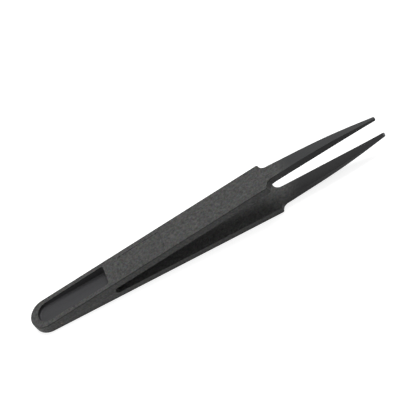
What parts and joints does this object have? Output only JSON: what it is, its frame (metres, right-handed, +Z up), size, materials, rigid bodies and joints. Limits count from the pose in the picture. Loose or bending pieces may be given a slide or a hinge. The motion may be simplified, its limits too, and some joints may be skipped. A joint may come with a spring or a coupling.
{
  "type": "carbon fiber tweezers",
  "caption": "One-piece moulded tweezers: springy flat arms join at a cored heel and step in to slim straight prongs with fine rounded tips, for picking up small parts.",
  "frame": {"origin": "under the middle of the whole length and width, on the plane of the lower arm's flat outer face, which the tweezers lie on", "axes": "+X along the lower arm from the heel towards the tips, +Y across the width of the arms, +Z up from the lower arm to the upper arm"},
  "size_m": [0.1154, 0.0102, 0.0137],
  "materials": {
    "filled_plastic": "black carbon-fibre-filled plastic with a coarse moulded grain on arms and heel, smoother on prongs and pocket floor"
  },
  "bodies": {
    "root": {"tweezers": "filled_plastic"}
  },
  "joints": []
}
